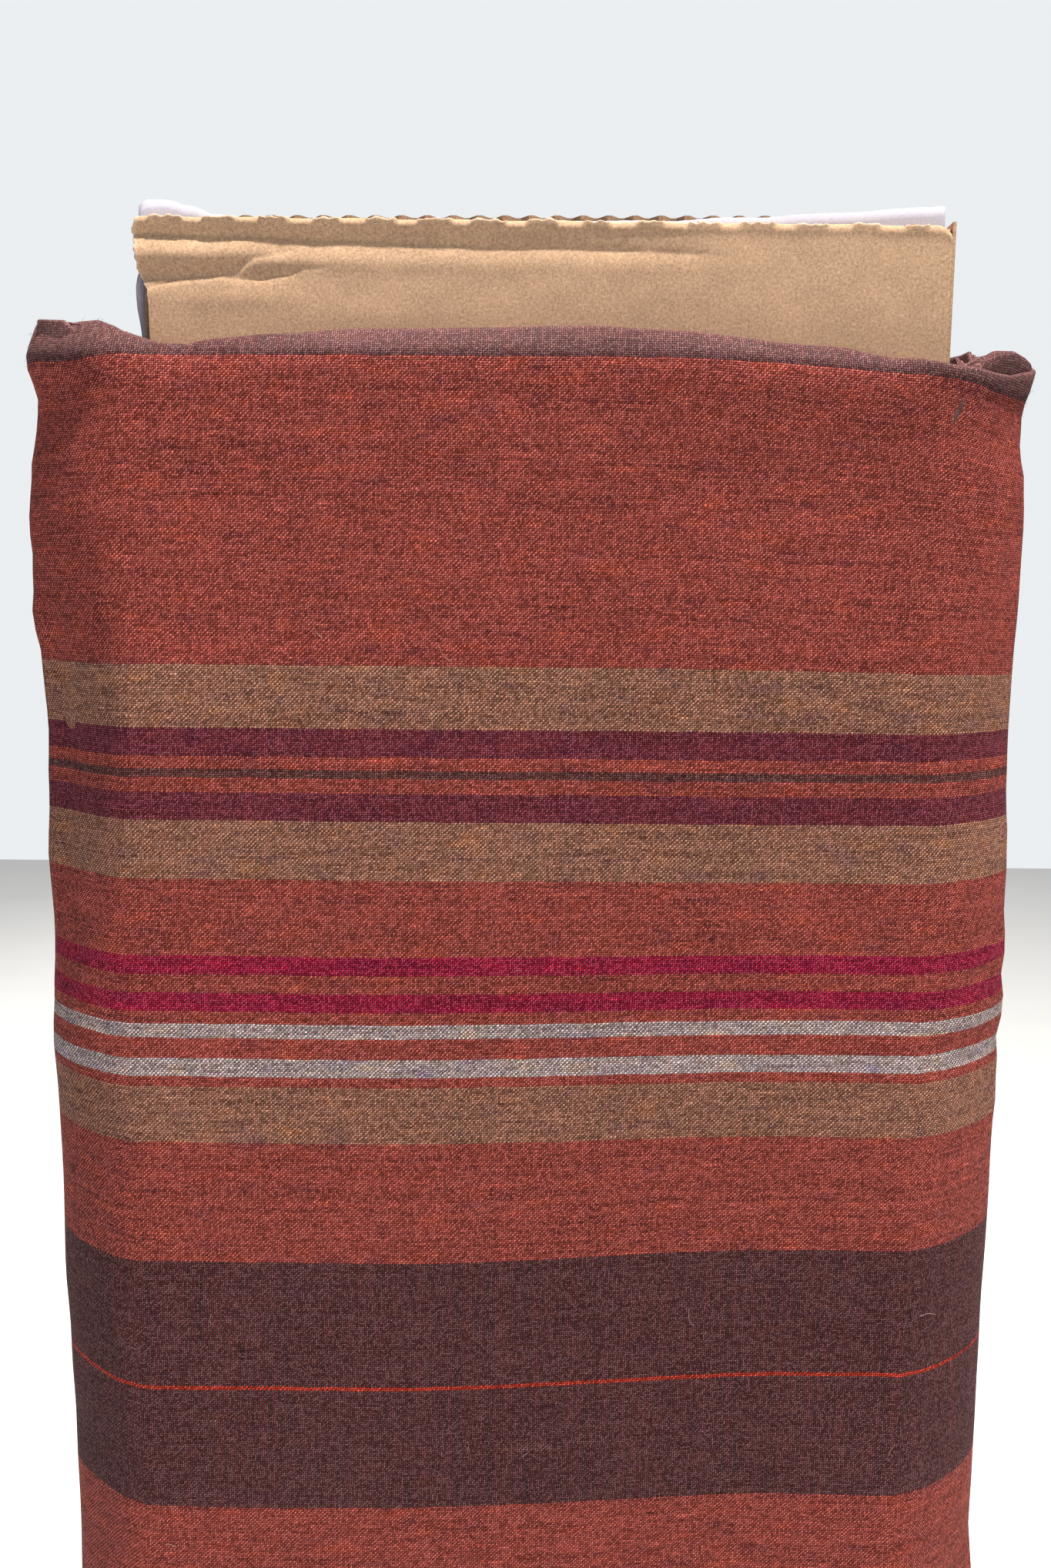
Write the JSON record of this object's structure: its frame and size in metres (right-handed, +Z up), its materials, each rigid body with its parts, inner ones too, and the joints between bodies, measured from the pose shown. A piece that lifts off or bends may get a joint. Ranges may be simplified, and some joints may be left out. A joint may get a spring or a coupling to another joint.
{
  "type": "fabric bolt",
  "caption": "Striped plain-weave cloth, folded double along its middle and wound on a flat folded corrugated board whose end stands out above the cloth.",
  "frame": {"origin": "on the floor, under the middle of the standing bolt", "axes": "+Z up along the board, towards the cloth's centre fold; +X across the width; -Y out of the front face; the loose end lies on the +Y face"},
  "size_m": [0.25, 0.0492, 0.7524],
  "materials": {
    "kraft_liner": "matt brown kraft paper",
    "white_liner": "matt white paper",
    "fluting": "matt brown paper",
    "fold": "crushed kraft board",
    "cloth": "matt striped plain weave"
  },
  "bodies": {
    "winding": {"cloth_wound_turns": "cloth", "cloth_outer_turn": "cloth"},
    "board": {"front_panel_outer_liner": "kraft_liner", "back_panel_outer_liner": "kraft_liner", "top_tuck_front_liner": "kraft_liner", "bottom_tuck_front_liner": "kraft_liner", "stiffener_front_liner": "kraft_liner", "front_panel_inner_liner": "white_liner", "back_panel_inner_liner": "white_liner", "top_tuck_back_liner": "white_liner", "bottom_tuck_back_liner": "white_liner", "stiffener_back_liner": "white_liner", "front_panel_flutes": "fluting", "back_panel_flutes": "fluting", "top_tuck_flutes": "fluting", "bottom_tuck_flutes": "fluting", "stiffener_flutes": "fluting", "top_fold": "fold", "bottom_fold": "fold", "side_fold": "fold"},
    "loose_end": {"cloth_loose_end": "cloth"}
  },
  "joints": [
    {"name": "board_slide", "type": "slide", "parent": "winding", "child": "board", "axis": [0, 0, 1], "range_m": [0, 0.68]},
    {"name": "cloth_end_lift", "type": "hinge", "parent": "winding", "child": "loose_end", "pos_m": [0.098, 0.0241, 0.36], "axis": [0, 0, -1], "range_deg": [0, 165]}
  ]
}
